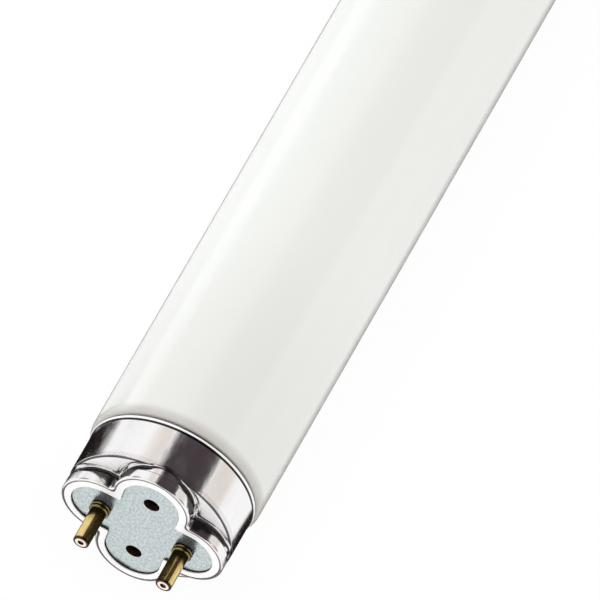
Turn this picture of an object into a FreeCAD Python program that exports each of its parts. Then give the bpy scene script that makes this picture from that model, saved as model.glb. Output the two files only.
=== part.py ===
import FreeCAD
import Part
import math
import os

# A straight fluorescent tube lamp with a two-pin cap at each end, in millimetres.
# X runs along the tube, the two pins of an end lie side by side along Y, and Z is up.
# The origin is the middle of the lamp.
# Each end is modelled about its own Z axis, which points away from the tube.
# Z = 0 lies on the cap's outer face.

# Lamp
FACE_TO_FACE = 589.8
TUBE_DIAMETER = 26.0

# Cap shell, drawn from sheet
CAP_WALL = 0.35
CAP_STEP = 0.6
SKIRT_LENGTH = 7.65
HEAD_HEIGHT = 2.45
HEM_HEIGHT = 0.7
HEM_PROUD = 0.2
CREASE_RADIUS = 0.2
LOBE_WIDTH = 11.5
LOBE_SETBACK = 0.05
NOTCH_RADIUS = 0.6
GROOVE_WIDTH = 0.65
GROOVE_DEPTH = 0.6
GROOVE_ROUND = 0.5
WAIST_DEPTH = 0.3
FRONT_EDGE_RADIUS = 0.35
RIM_WIDTH = 1.5
WINDOW_NOTCH_RADIUS = 0.25

# Insulating plate behind the rim
PLATE_THICKNESS = 1.0
PLATE_CLEARANCE = 0.05
VENT_DIAMETER = 2.4
VENT_SPACING = 12.7

# Contact pins, hollow and riveted through the plate
PIN_SPACING = 12.7
PIN_DIAMETER = 2.35
PIN_LENGTH = 6.65
PIN_BORE = 0.8
PIN_TIP_RADIUS = 0.12
SHANK_DIAMETER = 2.0
SHANK_CLEARANCE = 0.03
COLLAR_DIAMETER = 2.98
COLLAR_HEIGHT = 1.05
COLLAR_RING_PROUD = 0.2
RIVET_DIAMETER = 3.4
RIVET_HEIGHT = 0.5

# Glass neck, cemented into the skirt, and the seal that closes it
NECK_LENGTH = 5.6
NECK_EDGE_RADIUS = 1.2
CEMENT_GAP = 0.25
CEMENT_LENGTH = 4.2
CEMENT_INSET = 0.7
SEAL_WIDTH = 3.2
SEAL_DEPTH = 8.0
EXHAUST_DIAMETER = 4.0
EXHAUST_LENGTH = 5.0
EXHAUST_GAP = 1.3

# Lead wires from the seal to the pin tips
LEAD_DIAMETER = 0.6
LEAD_TIP_INSET = 0.2
LEAD_BEND_RADIUS = 1.0
LEAD_RUN = 1.2

# Places that follow from the sizes above
tube_radius = TUBE_DIAMETER / 2
cap_radius = tube_radius - CAP_STEP
cap_inner_radius = cap_radius - CAP_WALL
neck_radius = cap_inner_radius - CEMENT_GAP
lobe_half_width = LOBE_WIDTH / 2
lobe_centre = cap_radius - LOBE_SETBACK - lobe_half_width
plate_front = -CAP_WALL
plate_back = plate_front - PLATE_THICKNESS
bead_back = plate_back - CAP_WALL
shoulder = -HEAD_HEIGHT
groove_floor = shoulder - GROOVE_DEPTH
groove_inset = WAIST_DEPTH - GROOVE_WIDTH
cap_edge = shoulder - SKIRT_LENGTH
neck_end = cap_edge + NECK_LENGTH
seal_floor = neck_end - SEAL_DEPTH
exhaust_radius = EXHAUST_DIAMETER / 2
seal_floor_radius = exhaust_radius + EXHAUST_GAP
pin_tip = plate_front + PIN_LENGTH

ORIGIN = FreeCAD.Vector(0, 0, 0)
AXIS = FreeCAD.Vector(0, 0, 1)
OVERCUT = 1.0
TOUCH = 1e-4


def lathe_point(station):
    """A point of a turned profile, from its radius and height."""
    radius, height = station
    return FreeCAD.Vector(radius, 0, height)


def on_circle(centre, radius, degrees):
    """The radius and height of a point on a circle in the turning plane."""
    angle = math.radians(degrees)
    return (centre[0] + radius * math.cos(angle), centre[1] + radius * math.sin(angle))


def turned(start, *steps):
    """A solid turned about Z. A step of two stations is an arc through the first to the second."""
    edges = []
    here = start
    for *through, end in steps + ((start,),):
        if through:
            arc = Part.Arc(lathe_point(here), lathe_point(through[0]), lathe_point(end))
            edges.append(arc.toShape())
        else:
            edges.append(Part.makeLine(lathe_point(here), lathe_point(end)))
        here = end
    return Part.Face(Part.Wire(edges)).revolve(ORIGIN, AXIS, 360)


def rod(diameter, bottom, top, x=0, y=0):
    """A round rod along Z."""
    return Part.makeCylinder(diameter / 2, top - bottom, FreeCAD.Vector(x, y, bottom))


def four_lobes(half_width, notch_radius, bottom, top):
    """A prism with a round-ended lobe each way along X and Y and a small round in each notch."""
    reach = half_width + notch_radius
    straight_sided = reach <= lobe_centre
    if straight_sided:
        notch = reach
        touch = (notch, half_width)
        lobe_end = (lobe_centre, half_width)
    else:
        notch = (lobe_centre + math.sqrt(2 * reach**2 - lobe_centre**2)) / 2
        share = half_width / reach
        touch = (lobe_centre + (notch - lobe_centre) * share, notch * share)
        lobe_end = touch
    notch_middle = notch - notch_radius * math.sqrt(0.5)
    edges = []
    for quarter in range(4):
        turn = FreeCAD.Rotation(AXIS, 90 * quarter)

        def at(x, y):
            return turn.multVec(FreeCAD.Vector(x, y, bottom))

        start = at(lobe_end[0], -lobe_end[1])
        end = at(*lobe_end)
        edges.append(Part.Arc(start, at(lobe_centre + half_width, 0), end).toShape())
        if straight_sided:
            edges.append(Part.makeLine(end, at(*touch)))
        edges.append(Part.Arc(at(*touch), at(notch_middle, notch_middle), at(touch[1], touch[0])).toShape())
        if straight_sided:
            edges.append(Part.makeLine(at(touch[1], touch[0]), at(lobe_end[1], lobe_end[0])))
    outline = Part.Face(Part.Wire(edges))
    return outline.extrude(FreeCAD.Vector(0, 0, top - bottom))


def inset_lobes(inset, bottom, top):
    """The prism inside the bead's outline by an inset, or outside it by a negative one."""
    return four_lobes(lobe_half_width - inset, NOTCH_RADIUS + inset, bottom, top)


def edges_at_height(solid, height):
    """The edges that lie flat at one height."""
    return [
        edge
        for edge in solid.Edges
        if abs(edge.BoundBox.ZMin - height) < TOUCH and abs(edge.BoundBox.ZMax - height) < TOUCH
    ]


def cap_outside():
    """The cap as a filled form: hemmed skirt, shoulder, groove, and the bead round the head."""
    hem_top = cap_edge + HEM_HEIGHT
    hem_middle = cap_edge + HEM_HEIGHT / 2
    skirt = turned(
        (0, cap_edge),
        ((cap_radius, cap_edge),),
        ((cap_radius + HEM_PROUD, hem_middle), (cap_radius, hem_top)),
        ((cap_radius, shoulder),),
        ((0, shoulder),),
    )
    skirt = skirt.makeFillet(CREASE_RADIUS, edges_at_height(skirt, shoulder))
    groove = inset_lobes(groove_inset, groove_floor, bead_back)
    groove = groove.makeFillet(GROOVE_ROUND, edges_at_height(groove, groove_floor))
    waist = inset_lobes(WAIST_DEPTH, groove_floor, bead_back)
    bead = inset_lobes(0, bead_back, 0)
    bead = bead.makeFillet(FRONT_EDGE_RADIUS, edges_at_height(bead, 0))
    bead = bead.makeFillet(WAIST_DEPTH / 2, edges_at_height(bead, bead_back))
    return skirt.cut(groove).fuse([waist, bead]).removeSplitter()


def cap_shell():
    """The drawn shell. The ridge inside its groove and the rim hold the plate between them."""
    ridge_floor = groove_floor - CAP_WALL
    under_shoulder = shoulder - CAP_WALL
    inner_skirt = rod(2 * cap_inner_radius, cap_edge - OVERCUT, under_shoulder)
    ridge = inset_lobes(groove_inset, ridge_floor, under_shoulder + OVERCUT)
    hollows = [
        inner_skirt.cut(ridge),
        inset_lobes(WAIST_DEPTH + CAP_WALL, ridge_floor - OVERCUT, plate_back),
        inset_lobes(CAP_WALL, plate_back, plate_front),
        four_lobes(lobe_half_width - RIM_WIDTH, WINDOW_NOTCH_RADIUS, plate_front, OVERCUT),
    ]
    return cap_outside().cut(hollows)


def pin_plate():
    """The insulating plate, with its pin holes and vent holes."""
    inset = CAP_WALL + PLATE_CLEARANCE
    plate = inset_lobes(inset, plate_back, plate_front)
    pin_hole = SHANK_DIAMETER + 2 * SHANK_CLEARANCE
    holes = []
    for side in (-1, 1):
        bottom = plate_back - OVERCUT
        top = plate_front + OVERCUT
        holes.append(rod(pin_hole, bottom, top, x=side * PIN_SPACING / 2))
        holes.append(rod(VENT_DIAMETER, bottom, top, y=side * VENT_SPACING / 2))
    return plate.cut(holes)


def contact_pin():
    """A hollow pin about Z. Its two-ring collar sits on the plate and its shank is riveted behind."""
    shaft = PIN_DIAMETER / 2
    shank = SHANK_DIAMETER / 2
    bore = PIN_BORE / 2
    collar = COLLAR_DIAMETER / 2
    rivet = RIVET_DIAMETER / 2
    rivet_back = plate_back - RIVET_HEIGHT
    ring_root = collar - COLLAR_RING_PROUD
    collar_middle = plate_front + COLLAR_HEIGHT / 2
    collar_top = plate_front + COLLAR_HEIGHT
    tip_centre = (shaft - PIN_TIP_RADIUS, pin_tip - PIN_TIP_RADIUS)
    return turned(
        (bore, rivet_back),
        ((shank, rivet_back),),
        ((rivet, plate_back),),
        ((shank, plate_back),),
        ((shank, plate_front),),
        ((ring_root, plate_front),),
        ((collar, plate_front + COLLAR_HEIGHT / 4), (ring_root, collar_middle)),
        ((collar, collar_top - COLLAR_HEIGHT / 4), (ring_root, collar_top)),
        ((shaft, collar_top),),
        ((shaft, tip_centre[1]),),
        (on_circle(tip_centre, PIN_TIP_RADIUS, 45), (tip_centre[0], pin_tip)),
        ((bore, pin_tip),),
    )


def lead_wire(side):
    """A lead wire from the seal's floor, bent outwards to its pin and up the pin's bore."""
    inner = side * (exhaust_radius + seal_floor_radius) / 2
    outer = side * PIN_SPACING / 2
    rivet_back = plate_back - RIVET_HEIGHT
    corners = [
        FreeCAD.Vector(inner, 0, seal_floor),
        FreeCAD.Vector(inner, 0, neck_end - LEAD_RUN),
        FreeCAD.Vector(outer, 0, rivet_back - LEAD_RUN),
        FreeCAD.Vector(outer, 0, pin_tip - LEAD_TIP_INSET),
    ]
    slant = corners[2] - corners[1]
    bend = slant.getAngle(AXIS)
    tangent = LEAD_BEND_RADIUS * math.tan(bend / 2)
    middle_inset = LEAD_BEND_RADIUS * (1 / math.cos(bend / 2) - 1)
    edges = []
    here = corners[0]
    for before, corner, after in zip(corners, corners[1:], corners[2:]):
        come = (corner - before).normalize()
        leave = (after - corner).normalize()
        inward = (leave - come).normalize()
        arc_start = corner - come * tangent
        arc_end = corner + leave * tangent
        edges.append(Part.makeLine(here, arc_start))
        edges.append(Part.Arc(arc_start, corner + inward * middle_inset, arc_end).toShape())
        here = arc_end
    edges.append(Part.makeLine(here, corners[3]))
    section = Part.Wire(Part.makeCircle(LEAD_DIAMETER / 2, corners[0], AXIS))
    return Part.Wire(edges).makePipeShell([section], True, True)


def cement_ring():
    """The ring of basing cement between the glass neck and the skirt."""
    bottom = cap_edge + CEMENT_INSET
    ring = rod(2 * cap_inner_radius, bottom, bottom + CEMENT_LENGTH)
    return ring.cut(rod(2 * neck_radius, bottom - OVERCUT, bottom + CEMENT_LENGTH + OVERCUT))


def neck_cutter():
    """What is turned away outside the neck: a round shoulder from the tube's surface down to the neck."""
    round_radius = tube_radius - neck_radius
    round_centre = (neck_radius, cap_edge - round_radius)
    edge_centre = (neck_radius - NECK_EDGE_RADIUS, neck_end - NECK_EDGE_RADIUS)
    outside = tube_radius + OVERCUT
    return turned(
        (tube_radius, round_centre[1]),
        (on_circle(round_centre, round_radius, 45), (neck_radius, cap_edge)),
        ((neck_radius, edge_centre[1]),),
        (on_circle(edge_centre, NECK_EDGE_RADIUS, 45), (edge_centre[0], neck_end)),
        ((edge_centre[0], neck_end + OVERCUT),),
        ((outside, neck_end + OVERCUT),),
        ((outside, round_centre[1]),),
    )


def seal_cutter():
    """The re-entrant hollow of the seal, with the tipped-off exhaust stub left standing in it."""
    mouth = neck_radius - SEAL_WIDTH
    hollow = Part.makeCone(seal_floor_radius, mouth, SEAL_DEPTH, FreeCAD.Vector(0, 0, seal_floor))
    dome_centre = (0, seal_floor + EXHAUST_LENGTH - exhaust_radius)
    stub = turned(
        (0, seal_floor),
        ((exhaust_radius, seal_floor),),
        ((exhaust_radius, dome_centre[1]),),
        (on_circle(dome_centre, exhaust_radius, 45), on_circle(dome_centre, exhaust_radius, 90)),
    )
    return hollow.cut(stub)


def end_placement(direction):
    """Where an end's own axes go: its Z along the tube's X, away from the tube, and its Y upwards."""
    turn = FreeCAD.Rotation(
        FreeCAD.Vector(0, direction, 0), FreeCAD.Vector(0, 0, 1), FreeCAD.Vector(direction, 0, 0)
    )
    return FreeCAD.Placement(FreeCAD.Vector(direction * FACE_TO_FACE / 2, 0, 0), turn)


def placed(shape, direction):
    """A copy of an end's piece at the left or the right end."""
    return shape.transformed(end_placement(direction).toMatrix(), copy=True)


def glass_tube():
    """The sealed and coated glass, necked and closed at both ends."""
    length = FACE_TO_FACE + 2 * neck_end
    tube = Part.makeCylinder(tube_radius, length, FreeCAD.Vector(-length / 2, 0, 0), FreeCAD.Vector(1, 0, 0))
    cutters = [placed(cutter, end) for cutter in (neck_cutter(), seal_cutter()) for end in (-1, 1)]
    return tube.cut(cutters)


def lamp_parts():
    """Every piece of the lamp by name. Front is the -Y side and left the -X end."""
    parts = {"glass_tube": glass_tube()}
    shell = cap_shell()
    plate = pin_plate()
    cement = cement_ring()
    pin = contact_pin()
    for end, direction in (("left", -1), ("right", 1)):
        parts[end + "_cap_shell"] = placed(shell, direction)
        parts[end + "_pin_plate"] = placed(plate, direction)
        parts[end + "_cement_ring"] = placed(cement, direction)
        for row, y_side in (("front", -1), ("rear", 1)):
            side = y_side * direction
            pin_here = pin.translated(FreeCAD.Vector(side * PIN_SPACING / 2, 0, 0))
            parts[f"{end}_{row}_pin"] = placed(pin_here, direction)
            parts[f"{end}_{row}_lead"] = placed(lead_wire(side), direction)
    return parts


os.makedirs("parts", exist_ok=True)
for name, shape in lamp_parts().items():
    shape.exportStep(f"parts/{name}.step")
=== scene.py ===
"""Looks of a straight fluorescent tube lamp: coated glass, drawn caps, lustrous plates and brass pins."""

import logging
import math
from dataclasses import dataclass
from enum import Enum
from typing import Union

import bpy
from mathutils import Matrix, Vector


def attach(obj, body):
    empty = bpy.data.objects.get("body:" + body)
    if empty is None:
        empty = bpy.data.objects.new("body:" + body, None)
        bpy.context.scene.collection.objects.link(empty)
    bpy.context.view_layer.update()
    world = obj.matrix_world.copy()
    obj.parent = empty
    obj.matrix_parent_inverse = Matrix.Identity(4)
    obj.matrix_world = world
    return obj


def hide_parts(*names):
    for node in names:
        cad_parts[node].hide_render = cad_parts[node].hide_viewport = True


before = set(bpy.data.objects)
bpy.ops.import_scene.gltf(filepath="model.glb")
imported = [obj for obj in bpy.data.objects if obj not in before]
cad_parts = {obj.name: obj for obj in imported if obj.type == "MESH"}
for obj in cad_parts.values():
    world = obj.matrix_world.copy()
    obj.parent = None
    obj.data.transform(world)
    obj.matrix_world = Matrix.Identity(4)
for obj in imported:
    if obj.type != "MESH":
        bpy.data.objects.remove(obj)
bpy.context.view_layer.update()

LOG = logging.getLogger("fluorescent_tube")
MM = 0.001
BODY = "root"
FACE_TO_FACE_MM = 589.8
LOBE_HALF_WIDTH_MM = 5.75
LOBE_CENTRE_MM = 6.6
LOBE_NOTCH_BLEND_MM = 1.08
ENDS = ("left", "right")
ROWS = ("front", "rear")

Colour = tuple[float, float, float, float]
Triple = tuple[float, float, float]
Span = tuple[float, float]
Station = tuple[float, float]
Area = tuple[float, float]
Socket = bpy.types.NodeSocket
Tree = bpy.types.NodeTree
Feed = Union[float, tuple, Socket]
Feeds = dict[Union[str, int], Feed]

WHITE: Colour = (1.0, 1.0, 1.0, 1.0)
FIRST_BOUNCES: Span = (2.4, 2.6)


class Effect(Enum):
    """The surface effects that more than one finish uses."""

    END_DISTANCE = "End distance"
    LOBE_DISTANCE = "Lobe distance"
    FINE_GRAIN = "Fine grain"
    DRAWN_STREAKS = "Drawn streaks"
    HANDLING_FILM = "Handling film"


@dataclass
class NodeSheet:
    """A node tree with short calls that place nodes and join them."""

    tree: Tree

    def add(self, kind: str, inputs: Feeds | None = None, **settings: object) -> bpy.types.Node:
        """Places one node.

        Args:
            kind: The node's type name.
            inputs: A value for each input, or the socket that feeds it.
            settings: The node's own settings.

        Returns:
            The node.
        """
        node = self.tree.nodes.new(kind)
        for name, value in settings.items():
            setattr(node, name, value)
        for key, value in (inputs or {}).items():
            if isinstance(value, Socket):
                self.tree.links.new(value, node.inputs[key])
            else:
                node.inputs[key].default_value = value
        return node

    def sum(self, operation: str, first: Feed, second: Feed = 0.0) -> Socket:
        """A sum of two numbers.

        Args:
            operation: The name of the sum, such as MULTIPLY.
            first: The first number.
            second: The second number, where the sum takes one.

        Returns:
            The result's socket.
        """
        return self.add("ShaderNodeMath", {0: first, 1: second}, operation=operation).outputs[0]

    def ramp(self, value: Feed, low: Feed, high: Feed, start: Feed = 0.0, end: Feed = 1.0) -> Socket:
        """A smooth step that goes from one number to another while a value goes from low to high.

        Args:
            value: What is measured.
            low: Where the step starts.
            high: Where it ends.
            start: The result up to low.
            end: The result from high on.

        Returns:
            The result's socket.
        """
        inputs = {"Value": value, "From Min": low, "From Max": high, "To Min": start, "To Max": end}
        return self.add("ShaderNodeMapRange", inputs, interpolation_type="SMOOTHSTEP").outputs[0]

    def blend(self, share: Feed, first: Feed, second: Feed) -> Socket:
        """A mix of two colours.

        Args:
            share: How much of the second colour there is.
            first: The first colour.
            second: The second colour.

        Returns:
            The mixed colour's socket.
        """
        return self.add("ShaderNodeMix", {0: share, 6: first, 7: second}, data_type="RGBA").outputs[2]

    def between(self, value: Feed, span: Span, soft: float) -> Socket:
        """A mask for a span of a value.

        Args:
            value: What is measured.
            span: Where the mask starts and ends.
            soft: Half the width of its soft edges.

        Returns:
            The mask, 1 inside the span.
        """
        rise = self.ramp(value, span[0] - soft, span[0] + soft)
        fall = self.ramp(value, span[1] - soft, span[1] + soft, 1.0, 0.0)
        return self.sum("MULTIPLY", rise, fall)

    def mirrored(self) -> Socket:
        """A mask that is 1 where another surface mirrors this one."""
        return self.add("ShaderNodeLightPath").outputs["Is Glossy Ray"]

    def reflected(self) -> Socket:
        """A mask that is 1 where metal mirrors this surface or glass shows it."""
        path = self.add("ShaderNodeLightPath").outputs
        return self.sum("MAXIMUM", path["Is Glossy Ray"], path["Is Transmission Ray"])

    def millimetres(self, stretch: Triple = (1.0, 1.0, 1.0)) -> Socket:
        """The place on the lamp in millimetres, with each axis stretched.

        Args:
            stretch: The stretch along each axis.

        Returns:
            The place's socket.
        """
        place = self.add("ShaderNodeTexCoord").outputs["Object"]
        factors = tuple(factor / MM for factor in stretch)
        return self.add("ShaderNodeVectorMath", {0: place, 1: factors}, operation="MULTIPLY").outputs[0]

    def noise(self, place: Socket, scale: Feed, detail: float, roughness: float) -> Socket:
        """A cloudy noise.

        Args:
            place: Where on the lamp.
            scale: How many clouds there are to a millimetre.
            detail: How many finer layers it has.
            roughness: How strong the finer layers are.

        Returns:
            The noise, about 0 to 1.
        """
        inputs = {"Vector": place, "Scale": scale, "Detail": detail, "Roughness": roughness}
        return self.add("ShaderNodeTexNoise", inputs).outputs[0]

    def effect(self, effect: Effect, **inputs: Feed) -> Socket:
        """Places a shared effect.

        Args:
            effect: Which effect.
            inputs: The values for its named inputs.

        Returns:
            The effect's result.
        """
        group = self.add("ShaderNodeGroup", node_tree=EffectLibrary.get(effect))
        for name, value in inputs.items():
            group.inputs[name].default_value = value
        return group.outputs[0]


class EffectLibrary:
    """Builds each shared effect once, as a node group."""

    @classmethod
    def get(cls, effect: Effect) -> Tree:
        """The node group of an effect, built on its first use.

        Args:
            effect: Which effect.

        Returns:
            The node group.
        """
        known = bpy.data.node_groups.get(effect.value)
        if known:
            return known
        group = bpy.data.node_groups.new(effect.value, "ShaderNodeTree")
        makers = {
            Effect.END_DISTANCE: cls._end_distance,
            Effect.LOBE_DISTANCE: cls._lobe_distance,
            Effect.FINE_GRAIN: cls._fine_grain,
            Effect.DRAWN_STREAKS: cls._drawn_streaks,
            Effect.HANDLING_FILM: cls._handling_film,
        }
        makers[effect](group, NodeSheet(group))
        return group

    @staticmethod
    def _sockets(group: Tree, result: str, **inputs: float) -> None:
        """Names a group's number inputs, with their usual values, and its one result.

        Args:
            group: The node group.
            result: The result's name.
            inputs: The usual value of each input.
        """
        for name, value in inputs.items():
            socket = group.interface.new_socket(name, in_out="INPUT", socket_type="NodeSocketFloat")
            socket.default_value = value
        group.interface.new_socket(result, in_out="OUTPUT", socket_type="NodeSocketFloat")

    @classmethod
    def _end_distance(cls, group: Tree, sheet: NodeSheet) -> None:
        """How far a place lies from the nearer cap's outer face, in millimetres along the lamp.

        Args:
            group: The node group.
            sheet: Its nodes.
        """
        cls._sockets(group, "Distance")
        along = sheet.add("ShaderNodeSeparateXYZ", {0: sheet.millimetres()}).outputs["X"]
        distance = sheet.sum("SUBTRACT", FACE_TO_FACE_MM / 2, sheet.sum("ABSOLUTE", along))
        sheet.add("NodeGroupOutput", {"Distance": distance})

    @classmethod
    def _lobe_distance(cls, group: Tree, sheet: NodeSheet) -> None:
        """How far a place lies outside the head's four-lobed outline, in millimetres. Inside is negative.

        Args:
            group: The node group.
            sheet: Its nodes.
        """
        cls._sockets(group, "Distance")
        place = sheet.add("ShaderNodeSeparateXYZ", {0: sheet.millimetres()}).outputs
        sides = [sheet.sum("ABSOLUTE", place[axis]) for axis in ("Y", "Z")]
        beyond = [sheet.sum("MAXIMUM", sheet.sum("SUBTRACT", side, LOBE_CENTRE_MM), 0.0) for side in sides]
        reaches = []
        for pair in ((beyond[0], sides[1]), (sides[0], beyond[1])):
            squares = [sheet.sum("MULTIPLY", length, length) for length in pair]
            reaches.append(sheet.sum("SQRT", sheet.sum("ADD", *squares)))
        inputs = {0: reaches[0], 1: reaches[1], 2: LOBE_NOTCH_BLEND_MM}
        nearer = sheet.add("ShaderNodeMath", inputs, operation="SMOOTH_MIN").outputs[0]
        sheet.add("NodeGroupOutput", {"Distance": sheet.sum("SUBTRACT", nearer, LOBE_HALF_WIDTH_MM)})

    @classmethod
    def _fine_grain(cls, group: Tree, sheet: NodeSheet) -> None:
        """A fine even speckle.

        Args:
            group: The node group.
            sheet: Its nodes.
        """
        cls._sockets(group, "Grain", Scale=4.0, Low=0.35, High=0.65)
        given = sheet.add("NodeGroupInput").outputs
        noise = sheet.noise(sheet.millimetres(), given["Scale"], detail=4.0, roughness=0.6)
        grain = sheet.ramp(noise, given["Low"], given["High"])
        sheet.add("NodeGroupOutput", {"Grain": grain})

    @classmethod
    def _drawn_streaks(cls, group: Tree, sheet: NodeSheet) -> None:
        """Fine streaks along the lamp, as a drawing die leaves them.

        Args:
            group: The node group.
            sheet: Its nodes.
        """
        cls._sockets(group, "Streak", Scale=6.0, Low=0.3, High=0.7)
        given = sheet.add("NodeGroupInput").outputs
        place = sheet.millimetres(stretch=(0.06, 1.0, 1.0))
        noise = sheet.noise(place, given["Scale"], detail=3.0, roughness=0.55)
        streak = sheet.ramp(noise, given["Low"], given["High"])
        sheet.add("NodeGroupOutput", {"Streak": streak})

    @classmethod
    def _handling_film(cls, group: Tree, sheet: NodeSheet) -> None:
        """Broad faint patches, as hands and packing leave them.

        Args:
            group: The node group.
            sheet: Its nodes.
        """
        cls._sockets(group, "Film", Scale=0.25, Low=0.4, High=0.7)
        given = sheet.add("NodeGroupInput").outputs
        place = sheet.millimetres(stretch=(0.5, 1.0, 1.0))
        noise = sheet.noise(place, given["Scale"], detail=5.0, roughness=0.65)
        film = sheet.ramp(noise, given["Low"], given["High"])
        sheet.add("NodeGroupOutput", {"Film": film})


def blank_material(name: str) -> tuple[bpy.types.Material, NodeSheet]:
    """A material with no nodes yet, and the sheet for them.

    Args:
        name: The material's name.

    Returns:
        The material and its sheet.
    """
    material = bpy.data.materials.new(name)
    material.use_nodes = True
    material.node_tree.nodes.clear()
    return material, NodeSheet(material.node_tree)


def flat_mesh(name: str, length: float, width: float) -> bpy.types.Mesh:
    """A level rectangle round the origin, in metres.

    Args:
        name: The mesh's name.
        length: Its length along X.
        width: Its width along Y.

    Returns:
        The mesh.
    """
    signs = ((-1, -1), (1, -1), (1, 1), (-1, 1))
    mesh = bpy.data.meshes.new(name)
    mesh.from_pydata([(x * length / 2, y * width / 2, 0.0) for x, y in signs], [], [(0, 1, 2, 3)])
    return mesh


def put_in_scene(name: str, data: bpy.types.ID) -> bpy.types.Object:
    """Makes an object of a mesh, a light or a camera and puts it in the scene.

    Args:
        name: The object's name.
        data: The mesh, light or camera.

    Returns:
        The object.
    """
    thing = bpy.data.objects.new(name, data)
    bpy.context.scene.collection.objects.link(thing)
    return thing


@dataclass(frozen=True)
class Finish:
    """A named surface finish of one of the record's material slots."""

    slot: str

    def material(self) -> bpy.types.Material:
        """Builds the finish.

        Returns:
            The material.
        """
        material, sheet = blank_material(f"{self.slot}_finish")
        surface = sheet.add("ShaderNodeBsdfPrincipled")
        self.dress(sheet, surface)
        sheet.add("ShaderNodeOutputMaterial", {"Surface": surface.outputs[0]})
        return material

    def dress(self, sheet: NodeSheet, surface: bpy.types.Node) -> None:
        """Sets the surface's inputs. Each finish has its own.

        Args:
            sheet: The material's nodes.
            surface: The material's Principled node.
        """
        raise NotImplementedError

    @staticmethod
    def feed(sheet: NodeSheet, surface: bpy.types.Node, **inputs: Feed) -> None:
        """Sets or joins the surface's inputs, named with underscores for spaces.

        Args:
            sheet: The material's nodes.
            surface: The material's Principled node.
            inputs: A value for each input, or the socket that feeds it.
        """
        for name, value in inputs.items():
            socket = surface.inputs[name.replace("_", " ")]
            if isinstance(value, Socket):
                sheet.tree.links.new(value, socket)
            else:
                socket.default_value = value

    @staticmethod
    def bump(sheet: NodeSheet, height: Socket, depth_mm: float) -> Socket:
        """A normal from a height that runs from 0 to 1 over a depth in millimetres."""
        inputs = {"Height": height, "Distance": depth_mm * MM, "Strength": 1.0}
        return sheet.add("ShaderNodeBump", inputs).outputs[0]


@dataclass(frozen=True)
class CoatedGlass(Finish):
    """Clear glass over a dense white powder coat, which thins and greys towards the caps; the grey is
    partly where the coat ends and partly painted shade from the hem, and the bare glass at the hem is
    painted dark as the gap's shade.
    """

    slot: str = "coated_glass"
    coat: Colour = (0.745, 0.753, 0.722, 1.0)
    thin_coat: Colour = (0.685, 0.689, 0.657, 1.0)
    # Partly where the coat ends, partly painted shade from the cap's hem.
    end_grey_and_shade: Colour = (0.50, 0.485, 0.45, 1.0)
    # Painted shade: the bare glass in the hem's gap is dark as the gap's shade.
    bare_end_shade: Colour = (0.035, 0.03, 0.028, 1.0)
    bare_shade_mm: Span = (9.8, 10.1)
    grey_and_shade_mm: Span = (10.5, 12.1)
    thin_mm: Span = (11.8, 55.0)
    cloud_share: float = 0.12
    roughness: Span = (0.15, 0.21)
    refraction: float = 1.52

    def dress(self, sheet: NodeSheet, surface: bpy.types.Node) -> None:
        """Sets the coat's colour by the distance from the caps, with painted shade by the hems, and the
        glass's gloss.

        Args:
            sheet: The material's nodes.
            surface: The material's Principled node.
        """
        distance = sheet.effect(Effect.END_DISTANCE)
        cloud = sheet.effect(Effect.HANDLING_FILM, Scale=0.12, Low=0.3, High=0.75)
        thin = sheet.ramp(distance, *self.thin_mm, 1.0, 0.0)
        # Painted shade: greyer by the hem, partly the coat's end and partly the hem's shadow.
        grey = sheet.ramp(distance, *self.grey_and_shade_mm, 1.0, 0.0)
        # Painted shade in the gap under the hem.
        bare_shade = sheet.ramp(distance, *self.bare_shade_mm, 1.0, 0.0)
        colour = sheet.blend(sheet.sum("MULTIPLY", cloud, self.cloud_share), self.coat, self.thin_coat)
        colour = sheet.blend(thin, colour, self.thin_coat)
        colour = sheet.blend(grey, colour, self.end_grey_and_shade)
        colour = sheet.blend(bare_shade, colour, self.bare_end_shade)
        film = sheet.effect(Effect.HANDLING_FILM, Scale=0.3, Low=0.45, High=0.7)
        gloss = sheet.ramp(film, 0.0, 1.0, *self.roughness)
        self.feed(sheet, surface, Base_Color=colour, Roughness=gloss, IOR=self.refraction)


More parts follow.
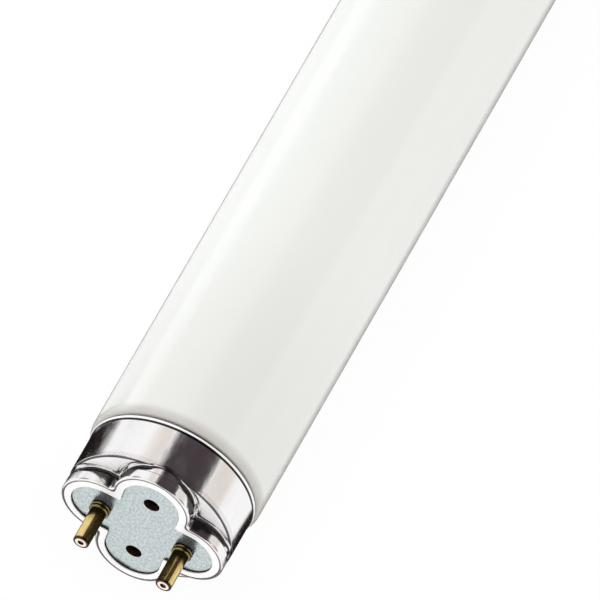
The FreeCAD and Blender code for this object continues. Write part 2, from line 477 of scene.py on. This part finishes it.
@dataclass(frozen=True)
class DrawnAluminium(Finish):
    """Bright drawn sheet with satin pressed faces, and painted shade in its groove, crease and hem."""

    slot: str = "cap_aluminium"
    bright: Colour = (0.94, 0.93, 0.93, 1.0)
    streaked: Colour = (0.85, 0.83, 0.83, 1.0)
    # Painted shade: the dark of the groove, crease, hem, bead, rim and window lines.
    painted_shade: Colour = (0.030, 0.023, 0.025, 1.0)
    wall_gloss: Span = (0.12, 0.20)
    face_gloss: float = 0.42
    face_metal: float = 0.3
    streak_share: float = 0.35
    streak_depth_mm: float = 0.0012
    dent_depth_mm: float = 0.006
    face_skin_mm: Span = (0.005, 0.04)
    lip_depth_mm: Span = (0.14, 0.20)
    rim_depth_mm: Span = (0.5, 0.8)
    bead_back_mm: Span = (1.56, 1.80)
    neck_start_mm: Span = (2.1, 2.2)
    neck_end_mm: Span = (3.2, 3.4)
    hem_line_mm: Span = (9.12, 9.46)
    hem_top_mm: Span = (9.46, 9.72)
    hem_edge_mm: Span = (9.69, 9.81)
    window_lobe_mm: Span = (-1.62, -1.44)
    rim_lobe_mm: Span = (-0.47, -0.39)
    bead_lobe_mm: Span = (-0.4, 0.06)
    groove_lobe_mm: Span = (0.12, 0.32)
    groove_middle_mm: float = 0.2
    mirrored_spread_mm: float = 2.0
    shoulder_lobe_mm: Span = (0.42, 0.9)
    crease_radius_mm: Span = (12.06, 12.37)
    groove_end_radius_mm: Span = (12.1, 12.35)
    groove_end_shift_mm: float = 0.25
    # Where the rim's painted shade line widens towards the bottom.
    widening_height_mm: Span = (-4.0, 2.0)
    widening_width_mm: float = 0.17
    endwise_share: Span = (0.85, 0.98)

    def _painted_shade_mask(self, sheet: NodeSheet) -> Socket:
        """Where shade is painted: behind the bead, along the crease, by the hem and round the rim and
        window, the rim's line wider at the bottom.

        In reflections the groove's painted shade spreads out over the shoulder, as a painted dark
        reflection.

        Args:
            sheet: The material's nodes.

        Returns:
            The mask, 1 where the painted shade is full.
        """
        along = sheet.effect(Effect.END_DISTANCE)
        lobe = sheet.effect(Effect.LOBE_DISTANCE)
        place = sheet.millimetres(stretch=(0.0, 1.0, 1.0))
        radius = sheet.add("ShaderNodeVectorMath", {0: place}, operation="LENGTH").outputs["Value"]
        behind = sheet.ramp(along, *self.neck_start_mm)
        before = sheet.ramp(along, *self.neck_end_mm, 1.0, 0.0)
        neck = sheet.sum("MULTIPLY", behind, before)
        shift = sheet.ramp(radius, *self.groove_end_radius_mm, 0.0, self.groove_end_shift_mm)
        outwards = sheet.sum("ADD", lobe, shift)
        # Painted dark reflection: in reflections the groove's dark spreads over the shoulder.
        spread = sheet.sum("MULTIPLY", sheet.mirrored(), self.mirrored_spread_mm)
        inwards = sheet.sum("MAXIMUM", sheet.sum("SUBTRACT", outwards, spread), self.groove_middle_mm)
        outwards = sheet.sum("MINIMUM", outwards, inwards)
        groove = sheet.sum("MULTIPLY", neck, sheet.between(outwards, self.groove_lobe_mm, soft=0.06))
        crease = sheet.sum("MULTIPLY", neck, sheet.between(radius, self.crease_radius_mm, soft=0.05))
        on_bead = sheet.between(lobe, self.bead_lobe_mm, soft=0.03)
        bead = sheet.sum("MULTIPLY", on_bead, sheet.between(along, self.bead_back_mm, soft=0.04))
        on_face = sheet.ramp(along, *self.face_skin_mm, 1.0, 0.0)
        height = sheet.add("ShaderNodeSeparateXYZ", {0: place}).outputs["Z"]
        # Painted shade: the rim's dark line is wider towards the bottom.
        lower_widening = sheet.ramp(height, *self.widening_height_mm, self.widening_width_mm, 0.0)
        rim = sheet.ramp(sheet.sum("ADD", lobe, lower_widening), *self.rim_lobe_mm)
        rim = sheet.sum("MULTIPLY", rim, on_face)
        wall = sheet.between(lobe, self.window_lobe_mm, soft=0.02)
        window = sheet.sum("MULTIPLY", wall, sheet.ramp(along, *self.lip_depth_mm))
        hem = sheet.between(along, self.hem_line_mm, soft=0.05)
        edge = sheet.ramp(along, *self.hem_edge_mm)
        # Painted shade in the groove, crease, behind the bead, round the rim and window, and at the hem.
        strengths = {groove: 0.96, crease: 0.95, bead: 0.85, rim: 0.95, window: 0.9, hem: 1.0, edge: 0.85}
        mask: Feed = 0.0
        for part, strength in strengths.items():
            mask = sheet.sum("MAXIMUM", mask, sheet.sum("MULTIPLY", part, strength))
        return mask

    def _satin_mask(self, sheet: NodeSheet) -> Socket:
        """Where the metal is satin: on the rim, out on the shoulder, on the window's lip and the hem.

        Args:
            sheet: The material's nodes.

        Returns:
            The mask, 1 where the metal is satin.
        """
        along = sheet.effect(Effect.END_DISTANCE)
        lobe = sheet.effect(Effect.LOBE_DISTANCE)
        normal = sheet.add("ShaderNodeNewGeometry").outputs["Normal"]
        endwise = sheet.sum("ABSOLUTE", sheet.add("ShaderNodeSeparateXYZ", {0: normal}).outputs["X"])
        wall = sheet.between(lobe, self.window_lobe_mm, soft=0.02)
        lip = sheet.sum("MULTIPLY", wall, sheet.ramp(along, *self.lip_depth_mm, 1.0, 0.0))
        on_rim = sheet.ramp(along, *self.rim_depth_mm, 1.0, 0.0)
        pressed = sheet.sum("MAXIMUM", on_rim, sheet.ramp(lobe, *self.shoulder_lobe_mm))
        face = sheet.sum("MULTIPLY", sheet.ramp(endwise, *self.endwise_share), pressed)
        mask = sheet.sum("MAXIMUM", face, lip)
        return sheet.sum("MAXIMUM", mask, sheet.between(along, self.hem_top_mm, soft=0.04))

    def dress(self, sheet: NodeSheet, surface: bpy.types.Node) -> None:
        """Sets the metal's colour with its painted shade, gloss, streaks and shallow dents. In reflections
        it has no satin.

        Args:
            sheet: The material's nodes.
            surface: The material's Principled node.
        """
        streak = sheet.effect(Effect.DRAWN_STREAKS, Scale=5.0)
        film = sheet.effect(Effect.HANDLING_FILM, Scale=0.5)
        dents = sheet.effect(Effect.HANDLING_FILM, Scale=0.7, Low=0.2, High=0.8)
        painted_shade = self._painted_shade_mask(sheet)
        colour = sheet.blend(sheet.sum("MULTIPLY", streak, self.streak_share), self.bright, self.streaked)
        # Painted shade darkens the groove, crease, hem and the lines round the rim and window.
        colour = sheet.blend(painted_shade, colour, self.painted_shade)
        satin = sheet.sum("SUBTRACT", self._satin_mask(sheet), sheet.mirrored())
        gloss = sheet.ramp(film, 0.0, 1.0, *self.wall_gloss)
        gloss = sheet.ramp(satin, 0.0, 1.0, gloss, self.face_gloss)
        metal = sheet.ramp(satin, 0.0, 1.0, 1.0, self.face_metal)
        relief = sheet.sum("MULTIPLY", dents, self.dent_depth_mm)
        relief = sheet.sum("ADD", relief, sheet.sum("MULTIPLY", streak, self.streak_depth_mm))
        self.feed(sheet, surface, Base_Color=colour, Metallic=metal, Roughness=gloss)
        self.feed(sheet, surface, Normal=self.bump(sheet, relief, 1.0))


@dataclass(frozen=True)
class LustrousBoard(Finish):
    """Grey-blue insulating board, speckled and lustrous, with painted shade at its edge by the window, and
    dark in its holes.
    """

    slot: str = "insulating_plate"
    ground: Colour = (0.635, 0.692, 0.694, 1.0)
    speck: Colour = (0.45, 0.515, 0.52, 1.0)
    # Painted shade along the board's edge by the rim's window.
    edge: Colour = (0.16, 0.17, 0.17, 1.0)
    hole: Colour = (0.21, 0.095, 0.07, 1.0)
    # Painted dark reflection: the board's colour where the pins mirror it.
    mirrored: Colour = (0.045, 0.042, 0.028, 1.0)
    edge_shade_mm: Span = (-1.68, -1.54)
    hole_depth_mm: Span = (0.38, 0.42)
    lustre: float = 0.9
    roughness: Span = (0.15, 0.23)
    grain_depth_mm: float = 0.006

    def dress(self, sheet: NodeSheet, surface: bpy.types.Node) -> None:
        """Sets the board's speckle, painted edge shade, lustre and grain. In the pins' reflections its
        colour is painted dark.

        Args:
            sheet: The material's nodes.
            surface: The material's Principled node.
        """
        speckle = sheet.effect(Effect.FINE_GRAIN, Scale=2.6, Low=0.36, High=0.64)
        grain = sheet.effect(Effect.FINE_GRAIN, Scale=5.5, Low=0.3, High=0.7)
        lobe = sheet.effect(Effect.LOBE_DISTANCE)
        colour = sheet.blend(speckle, self.ground, self.speck)
        # Painted shade at the board's edge by the window.
        colour = sheet.blend(sheet.ramp(lobe, *self.edge_shade_mm), colour, self.edge)
        depth = sheet.effect(Effect.END_DISTANCE)
        colour = sheet.blend(sheet.ramp(depth, *self.hole_depth_mm), colour, self.hole)
        # Painted dark reflection for the pins.
        mirrored = sheet.mirrored()
        colour = sheet.blend(mirrored, colour, self.mirrored)
        gloss = sheet.sum("MAXIMUM", sheet.ramp(grain, 0.0, 1.0, *self.roughness), mirrored)
        normal = self.bump(sheet, grain, self.grain_depth_mm)
        self.feed(sheet, surface, Base_Color=colour, Metallic=self.lustre, Roughness=gloss, Normal=normal)


@dataclass(frozen=True)
class PinBrass(Finish):
    """Drawn brass, darker towards the collar, partly tarnish and partly painted shade by the plate, with a
    tinned tip that is dark round its edge and has painted shade in its bore.
    """

    slot: str = "pin_brass"
    bright: Colour = (0.95, 0.76, 0.33, 1.0)
    worn: Colour = (0.74, 0.54, 0.20, 1.0)
    # Partly tarnish, partly painted shade towards the plate.
    tarnish_and_shade: Colour = (0.17, 0.135, 0.05, 1.0)
    tinned: Colour = (0.95, 0.86, 0.78, 1.0)
    # Dark round the tip's edge, and painted shade in the bore.
    dark_tip_and_bore_shade: Colour = (0.07, 0.035, 0.015, 1.0)
    # Painted dark reflection: the brass's colour where other surfaces mirror it.
    mirrored: Colour = (0.035, 0.045, 0.028, 1.0)
    tarnish_and_shade_mm: Span = (-3.0, -0.9)
    tarnish_and_shade_share: float = 0.85
    dark_tip_mm: Span = (-6.14, -5.86)
    bore_mm: Span = (0.42, 0.46)
    tinned_mm: Span = (0.46, 0.84)
    spacing_mm: float = 12.7
    roughness: Span = (0.16, 0.26)
    streak_depth_mm: float = 0.0012

    def dress(self, sheet: NodeSheet, surface: bpy.types.Node) -> None:
        """Sets the brass's colour along the pin, its gloss and its streaks. In reflections its colour is
        painted dark.

        Args:
            sheet: The material's nodes.
            surface: The material's Principled node.
        """
        distance = sheet.effect(Effect.END_DISTANCE)
        streak = sheet.effect(Effect.DRAWN_STREAKS, Scale=9.0)
        film = sheet.effect(Effect.HANDLING_FILM, Scale=1.4)
        # Painted shade: darker towards the collar, partly as tarnish.
        tarnish_and_shade = sheet.ramp(distance, *self.tarnish_and_shade_mm, 0.0, self.tarnish_and_shade_share)
        place = sheet.add("ShaderNodeSeparateXYZ", {0: sheet.millimetres()}).outputs
        aside = sheet.sum("SUBTRACT", sheet.sum("ABSOLUTE", place["Y"]), self.spacing_mm / 2)
        from_axis = sheet.add("ShaderNodeCombineXYZ", {"Y": aside, "Z": place["Z"]}).outputs[0]
        radius = sheet.add("ShaderNodeVectorMath", {0: from_axis}, operation="LENGTH").outputs["Value"]
        # Dark on the tip's rounding, and painted shade inside the bore.
        dark_tip_and_bore_shade = sheet.ramp(distance, *self.dark_tip_mm, 1.0, 0.0)
        dark_tip_and_bore_shade = sheet.sum("MAXIMUM", dark_tip_and_bore_shade, sheet.ramp(radius, *self.bore_mm, 1.0, 0.0))
        tinned = sheet.sum("MULTIPLY", dark_tip_and_bore_shade, sheet.between(radius, self.tinned_mm, soft=0.04))
        colour = sheet.blend(streak, self.bright, self.worn)
        colour = sheet.blend(tarnish_and_shade, colour, self.tarnish_and_shade)
        colour = sheet.blend(dark_tip_and_bore_shade, colour, self.dark_tip_and_bore_shade)
        colour = sheet.blend(tinned, colour, self.tinned)
        # Painted dark reflection.
        colour = sheet.blend(sheet.mirrored(), colour, self.mirrored)
        gloss = sheet.ramp(film, 0.0, 1.0, *self.roughness)
        normal = self.bump(sheet, streak, self.streak_depth_mm)
        self.feed(sheet, surface, Base_Color=colour, Metallic=1.0, Roughness=gloss, Normal=normal)


@dataclass(frozen=True)
class LeadWire(Finish):
    """Copper-clad wire, darkened in the pin's bore."""

    slot: str = "lead_wire"
    copper: Colour = (0.72, 0.38, 0.24, 1.0)
    dark: Colour = (0.20, 0.09, 0.05, 1.0)
    roughness: float = 0.35

    def dress(self, sheet: NodeSheet, surface: bpy.types.Node) -> None:
        """Sets the wire's mottled colour.

        Args:
            sheet: The material's nodes.
            surface: The material's Principled node.
        """
        mottle = sheet.effect(Effect.FINE_GRAIN, Scale=5.0)
        colour = sheet.blend(mottle, self.copper, self.dark)
        self.feed(sheet, surface, Base_Color=colour, Metallic=1.0, Roughness=self.roughness)


@dataclass(frozen=True)
class BasingCement(Finish):
    """Baked, grainy cement."""

    slot: str = "basing_cement"
    pale: Colour = (0.66, 0.62, 0.54, 1.0)
    dark: Colour = (0.46, 0.42, 0.35, 1.0)
    roughness: float = 0.85
    grain_depth_mm: float = 0.03

    def dress(self, sheet: NodeSheet, surface: bpy.types.Node) -> None:
        """Sets the cement's colour and grain.

        Args:
            sheet: The material's nodes.
            surface: The material's Principled node.
        """
        grain = sheet.effect(Effect.FINE_GRAIN, Scale=2.5)
        colour = sheet.blend(grain, self.pale, self.dark)
        normal = self.bump(sheet, grain, self.grain_depth_mm)
        self.feed(sheet, surface, Base_Color=colour, Roughness=self.roughness, Normal=normal)


def dress_node(node: str, material: bpy.types.Material) -> None:
    """Gives a node of the frame its finish.

    Args:
        node: The node's name.
        material: The finish.
    """
    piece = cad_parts[node]
    piece.data.materials.clear()
    piece.data.materials.append(material)
    LOG.info("%s is dressed in %s", node, material.name)


@dataclass
class TubeGlass:
    """The glass tube, turned finely from one profile, in millimetres."""

    radius: float = 13.0
    neck_radius: float = 11.8
    neck_edge_radius: float = 1.2
    neck_end: float = 4.2
    cap_edge: float = 10.1
    mouth_radius: float = 8.6
    floor_radius: float = 3.3
    seal_depth: float = 8.0
    stub_radius: float = 2.0
    stub_length: float = 5.0
    segments: int = 192
    round_steps: int = 10
    sharp_deg: float = 50.0

    def _round(self, centre: Station, radius: float) -> list[Station]:
        """Stations on a quarter round of the profile, from its front to its outside.

        Args:
            centre: The round's centre.
            radius: The round's radius.

        Returns:
            The stations.
        """
        stations = []
        for step in range(self.round_steps + 1):
            angle = math.pi / 2 * (1 - step / self.round_steps)
            stations.append((centre[0] + radius * math.cos(angle), centre[1] - radius * math.sin(angle)))
        return stations

    def _end_profile(self) -> list[Station]:
        """One end's stations, as radius and depth behind the cap's face, from the exhaust stub outwards.

        Returns:
            The stations.
        """
        floor = self.neck_end + self.seal_depth
        dome = floor - self.stub_length + self.stub_radius
        shoulder = self.radius - self.neck_radius
        edge = (self.neck_radius - self.neck_edge_radius, self.neck_end + self.neck_edge_radius)
        stations = self._round((0.0, dome), self.stub_radius)
        stations += [(self.stub_radius, floor), (self.floor_radius, floor)]
        stations += [(self.mouth_radius, self.neck_end)]
        stations += self._round(edge, self.neck_edge_radius)
        stations += self._round((self.neck_radius, self.cap_edge + shoulder), shoulder)
        return stations

    def _turned_mesh(self, name: str) -> bpy.types.Mesh:
        """Turns the profile of both ends round the lamp's axis.

        Args:
            name: The mesh's name.

        Returns:
            The closed mesh, smooth but for its sharp edges.
        """
        half = FACE_TO_FACE_MM / 2
        end = self._end_profile()
        profile = [(radius, depth - half) for radius, depth in end]
        profile += [(radius, half - depth) for radius, depth in reversed(end)]
        rings = profile[1:-1]
        corners: list[Triple] = []
        for radius, along in rings:
            for step in range(self.segments):
                angle = 2 * math.pi * step / self.segments
                corners.append((along * MM, radius * math.cos(angle) * MM, radius * math.sin(angle) * MM))
        faces: list[tuple[int, ...]] = []
        for ring in range(len(rings) - 1):
            low, high = ring * self.segments, (ring + 1) * self.segments
            for step in range(self.segments):
                after = (step + 1) % self.segments
                faces.append((low + step, high + step, high + after, low + after))
        last = (len(rings) - 1) * self.segments
        for first, tip_along, turn in ((0, profile[0][1], 1), (last, profile[-1][1], -1)):
            tip = len(corners)
            corners.append((tip_along * MM, 0.0, 0.0))
            for step in range(self.segments):
                pair = (first + step, first + (step + 1) % self.segments)
                faces.append((tip, *pair[::turn]))
        mesh = bpy.data.meshes.new(name)
        mesh.from_pydata(corners, [], faces)
        mesh.shade_smooth()
        mesh.set_sharp_from_angle(angle=math.radians(self.sharp_deg))
        return mesh

    def build(self) -> bpy.types.Object:
        """Turns the tube and puts it in the glass node's place.

        Returns:
            The glass piece.
        """
        finish = CoatedGlass()
        mesh = self._turned_mesh("tube_glass")
        mesh.materials.append(finish.material())
        piece = put_in_scene("tube_glass", mesh)
        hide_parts("glass_tube")
        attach(piece, BODY)
        LOG.info("tube_glass is turned with %d faces", len(mesh.polygons))
        return piece


@dataclass
class EndCaps:
    """The drawn shells at both ends, with the plates and cement inside them."""

    shell_finish: Finish = DrawnAluminium()
    plate_finish: Finish = LustrousBoard()
    cement_finish: Finish = BasingCement()

    def dress(self) -> None:
        """Gives the shells, plates and cement rings their finishes."""
        finishes = {
            "cap_shell": self.shell_finish.material(),
            "pin_plate": self.plate_finish.material(),
            "cement_ring": self.cement_finish.material(),
        }
        for end in ENDS:
            for kind, material in finishes.items():
                dress_node(f"{end}_{kind}", material)


@dataclass
class ContactPins:
    """The brass pins and the lead wires in their bores."""

    pin_finish: Finish = PinBrass()
    lead_finish: Finish = LeadWire()

    def dress(self) -> None:
        """Gives the pins and leads their finishes."""
        finishes = {"pin": self.pin_finish.material(), "lead": self.lead_finish.material()}
        for end in ENDS:
            for row in ROWS:
                for kind, material in finishes.items():
                    dress_node(f"{end}_{row}_{kind}", material)


@dataclass(frozen=True)
class DarkFlag:
    """A dark card with soft edges, which only the first reflections show. Sizes are in metres."""

    name: str
    centre: Triple
    length: float
    width: float
    soft_ends: Span = (0.0, 0.0)
    soft_sides: Span = (0.1, 0.1)
    colour: Colour = (0.05, 0.037, 0.042, 1.0)
    turn_deg: float = 0.0
    upright: bool = False

    def build(self) -> None:
        """Hangs the card."""
        mesh = flat_mesh(self.name, self.length, self.width)
        mesh.materials.append(self._material())
        card = put_in_scene(self.name, mesh)
        card.location = self.centre
        card.rotation_euler = (math.pi / 2 if self.upright else 0.0, 0.0, math.radians(self.turn_deg))
        card.visible_camera = False
        card.visible_diffuse = False
        card.visible_shadow = False
        card.visible_transmission = False

    def _material(self) -> bpy.types.Material:
        """The card's dark face, which fades to the white of the set at its edges.

        Returns:
            The material.
        """
        material, sheet = blank_material(f"{self.name}_face")
        place = sheet.add("ShaderNodeTexCoord").outputs["Generated"]
        axes = sheet.add("ShaderNodeSeparateXYZ", {0: place}).outputs
        bounces = sheet.add("ShaderNodeLightPath").outputs["Ray Depth"]
        dark = sheet.ramp(bounces, *FIRST_BOUNCES, 1.0, 0.0)
        for axis, (low, high) in (("X", self.soft_ends), ("Y", self.soft_sides)):
            if low:
                dark = sheet.sum("MULTIPLY", dark, sheet.ramp(axes[axis], 0.0, low))
            if high:
                dark = sheet.sum("MULTIPLY", dark, sheet.ramp(axes[axis], 1.0 - high, 1.0, 1.0, 0.0))
        colour = sheet.blend(dark, WHITE, self.colour)
        glow = sheet.add("ShaderNodeEmission", {"Color": colour, "Strength": 1.0})
        sheet.add("ShaderNodeOutputMaterial", {"Surface": glow.outputs[0]})
        return material


@dataclass
class Studio:
    """The white set: floor, surrounding light, lamps, dark flags and camera.

    Sizes are in metres, but the lens and the sensor are in millimetres.
    """

    glass: bpy.types.Object
    floor_height: float = -0.013
    floor_size: float = 8.0
    floor_colour: Colour = (0.94, 0.94, 0.94, 1.0)
    white_share: float = 0.93
    ambient: float = 0.90
    key_colour: Triple = (0.96, 1.0, 1.07)
    overhead_height: float = 1.0
    overhead_deg: Span = (-21.5, 50.5)
    overhead_length: float = 24.0
    black: Colour = (0.012, 0.008, 0.008, 1.0)
    dim: Colour = (0.16, 0.15, 0.15, 1.0)
    grey: Colour = (0.30, 0.285, 0.285, 1.0)
    veil: Colour = (0.80, 0.745, 0.70, 1.0)
    lens: float = 1300.0
    sensor_width: float = 36.0
    clip_share: float = 4.0
    frame_width: float = 0.0826
    view_roll_deg: float = 4.5
    view_sine: float = 0.535
    picture_turn_deg: float = 30.0
    aim_along: float = 0.04504
    aim_right: float = 0.00303

    def build(self) -> None:
        """Sets up everything round the lamp."""
        self._floor()
        self._surroundings()
        self._lamps()
        self._flags()
        self._camera()
        bpy.context.scene.view_settings.view_transform = "Standard"
        LOG.info("the set is lit")

    def _floor(self) -> None:
        """Lays the white floor, which keeps a faint shadow."""
        material, sheet = blank_material("floor_white")
        seen = sheet.add("ShaderNodeLightPath").outputs["Is Camera Ray"]
        shown = sheet.sum("MULTIPLY", seen, self.white_share)
        share = sheet.sum("MAXIMUM", shown, sheet.reflected())
        paper = sheet.add("ShaderNodeBsdfDiffuse", {"Color": self.floor_colour})
        white = sheet.add("ShaderNodeEmission", {"Color": WHITE, "Strength": 1.0})
        face = sheet.add("ShaderNodeMixShader", {0: share, 1: paper.outputs[0], 2: white.outputs[0]})
        sheet.add("ShaderNodeOutputMaterial", {"Surface": face.outputs[0]})
        mesh = flat_mesh("floor", self.floor_size, self.floor_size)
        mesh.materials.append(material)
        floor = put_in_scene("floor", mesh)
        floor.location.z = self.floor_height

    def _surroundings(self) -> None:
        """Surrounds the set with white, which lights the lamp less than it shows."""
        world = bpy.data.worlds.new("white_set")
        world.use_nodes = True
        world.node_tree.nodes.clear()
        sheet = NodeSheet(world.node_tree)
        seen = sheet.add("ShaderNodeLightPath").outputs["Is Camera Ray"]
        shown = sheet.sum("MAXIMUM", seen, sheet.reflected())
        strength = sheet.ramp(shown, 0.0, 1.0, self.ambient, 1.0)
        glow = sheet.add("ShaderNodeBackground", {"Color": WHITE, "Strength": strength})
        sheet.add("ShaderNodeOutputWorld", {"Surface": glow.outputs[0]})
        bpy.context.scene.world = world

    @staticmethod
    def _lamp(
        name: str, place: Triple, size: Area, watts: float, faces_end: bool = False
    ) -> bpy.types.Object:
        """Hangs one soft lamp that faces the tube. The metal mirrors the white set and not the lamp.

        Args:
            name: The lamp's name.
            place: Where it hangs, in metres.
            size: Its length along the tube, or across it where it faces the end, and its width.
            watts: Its power.
            faces_end: Whether it faces the near end, and not the tube beside it.

        Returns:
            The lamp.
        """
        light = bpy.data.lights.new(name, "AREA")
        light.shape = "RECTANGLE"
        light.size, light.size_y = size
        light.energy = watts
        lamp = put_in_scene(name, light)
        near_end = -FACE_TO_FACE_MM / 2 * MM
        away = Vector((place[0] - near_end if faces_end else 0.0, place[1], place[2])).normalized()
        along = Vector((0.0, -1.0, 0.0)) if faces_end else Vector((1.0, 0.0, 0.0))
        turn = Matrix((along, away.cross(along), away)).transposed().to_4x4()
        lamp.matrix_world = Matrix.Translation(place) @ turn
        lamp.visible_camera = False
        lamp.visible_glossy = False
        return lamp

    def _lamps(self) -> None:
        """Hangs the key lamp low on the left, two lamps before the near end and a fill on the right.

        A weak lamp close beside the tube draws a line of gloss on the glass and lights nothing else.
        """
        key = self._lamp("key_lamp", (0.38, 1.0, 0.22), (2.0, 0.5), 4.2)
        key.data.color = self.key_colour
        self._lamp("front_lamp", (-0.72, 0.36, 0.82), (0.2, 0.16), 1.7)
        self._lamp("end_lamp", (-1.4, 0.0, 0.35), (1.0, 0.6), 1.9, faces_end=True)
        self._lamp("fill_lamp", (-0.3, -1.2, 0.7), (1.4, 0.8), 3.15)
        glint = self._lamp("glint_lamp", (0.05, 0.10, 0.009), (0.75, 0.043), 0.085)
        glint.visible_diffuse, glint.visible_glossy = False, True
        glass_only = bpy.data.collections.new("glint_on_glass")
        glass_only.objects.link(self.glass)
        glint.light_linking.receiver_collection = glass_only

    def _flags(self) -> None:
        """Hangs the dark cards that draw the metal's shapes."""
        for flag in (*self._overhead_flags(), *self._floor_flags(), *self._side_flags()):
            flag.build()

    def _overhead_flags(self) -> list[DarkFlag]:
        """The card over the tube, which darkens the caps' tops, and the pale veil on its right.

        Returns:
            The two cards.
        """
        height, length = self.overhead_height, self.overhead_length
        low, high = (math.tan(math.radians(angle)) * height for angle in self.overhead_deg)
        middle = (0.0, -(low + high) / 2, height)
        beside = (0.0, -4.57, height + 0.1)
        return [
            DarkFlag("overhead_flag", middle, length, high - low, soft_sides=(0.185, 0.12)),
            DarkFlag("overhead_veil", beside, length, 11.66, soft_sides=(0.67, 0.056), colour=self.veil),
        ]

    def _floor_flags(self) -> list[DarkFlag]:
        """The cards on the floor beside the near cap, along the tube and across its ends: painted shadows
        of the tube that only reflections show.

        Returns:
            The six cards.
        """
        lowest, middle, highest = (self.floor_height + lift for lift in (0.0003, 0.0005, 0.0007))
        left, right = (-0.23915, 0.0885, middle), (-0.27969, -0.019, middle)
        left_side, right_side = (0.0, 0.01705, lowest), (0.0, -0.0193, lowest)
        near, far = (-0.2897, 0.0, highest), (0.2897, 0.0, highest)
        hard, faded = (0.0, 0.0), (0.45, 0.45)
        return [
            # Painted shadows of the tube on the floor, which only reflections show.
            DarkFlag("left_flag", left, 0.1785, 0.0089, (0.0, 0.78), hard, self.black, 59.0),
            DarkFlag("right_flag", right, 0.0176, 0.0094, (0.0, 0.25), hard, self.black, -65.2),
            DarkFlag("left_contact_shadow", left_side, 0.603, 0.0089, soft_sides=(0.0, 0.32)),
            DarkFlag("right_contact_shadow", right_side, 0.603, 0.0134, soft_sides=(0.5, 0.0)),
            DarkFlag("near_shade", near, 0.0104, 0.12, soft_sides=faded, colour=self.dim),
            DarkFlag("far_shade", far, 0.0104, 0.12, soft_sides=faded, colour=self.dim),
        ]

    def _side_flags(self) -> list[DarkFlag]:
        """The upright grey panels that outline the caps from the sides.

        Returns:
            The two panels.
        """
        look = {"soft_sides": (0.3, 0.3), "colour": self.grey, "upright": True}
        return [
            DarkFlag("left_panel", (-0.15, 1.5, 0.55), 1.4, 1.0, **look),
            DarkFlag("right_panel", (-0.15, -1.5, 0.55), 1.4, 1.0, **look),
        ]

    def _camera(self) -> None:
        """Puts the camera where it sees the near end as the picture does."""
        roll = math.radians(self.view_roll_deg)
        sine, cosine = self.view_sine, math.sqrt(1.0 - self.view_sine**2)
        along = Vector((1.0, 0.0, 0.0))
        above = Vector((0.0, -math.sin(roll), math.cos(roll)))
        right = Vector((0.0, -math.cos(roll), -math.sin(roll)))
        back = cosine * above - sine * along
        up = cosine * along + sine * above
        turn = math.radians(self.picture_turn_deg)
        camera_right = math.cos(turn) * right + math.sin(turn) * up
        camera_up = math.cos(turn) * up - math.sin(turn) * right
        face = Vector((-FACE_TO_FACE_MM / 2 * MM, 0.0, 0.0))
        aim = face + self.aim_along * along + self.aim_right * right
        data = bpy.data.cameras.new("camera")
        data.sensor_width = self.sensor_width
        data.lens = self.lens
        distance = self.frame_width * self.lens / self.sensor_width
        data.clip_end = self.clip_share * distance
        camera = put_in_scene("camera", data)
        axes = Matrix((camera_right, camera_up, back)).transposed().to_4x4()
        camera.matrix_world = Matrix.Translation(aim + distance * back) @ axes
        bpy.context.scene.camera = camera


def main() -> None:
    """Builds and dresses the lamp, then the set round it."""
    logging.basicConfig(level=logging.INFO, format="%(name)s: %(message)s")
    glass = TubeGlass().build()
    EndCaps().dress()
    ContactPins().dress()
    Studio(glass).build()


if __name__ == "__main__":
    main()
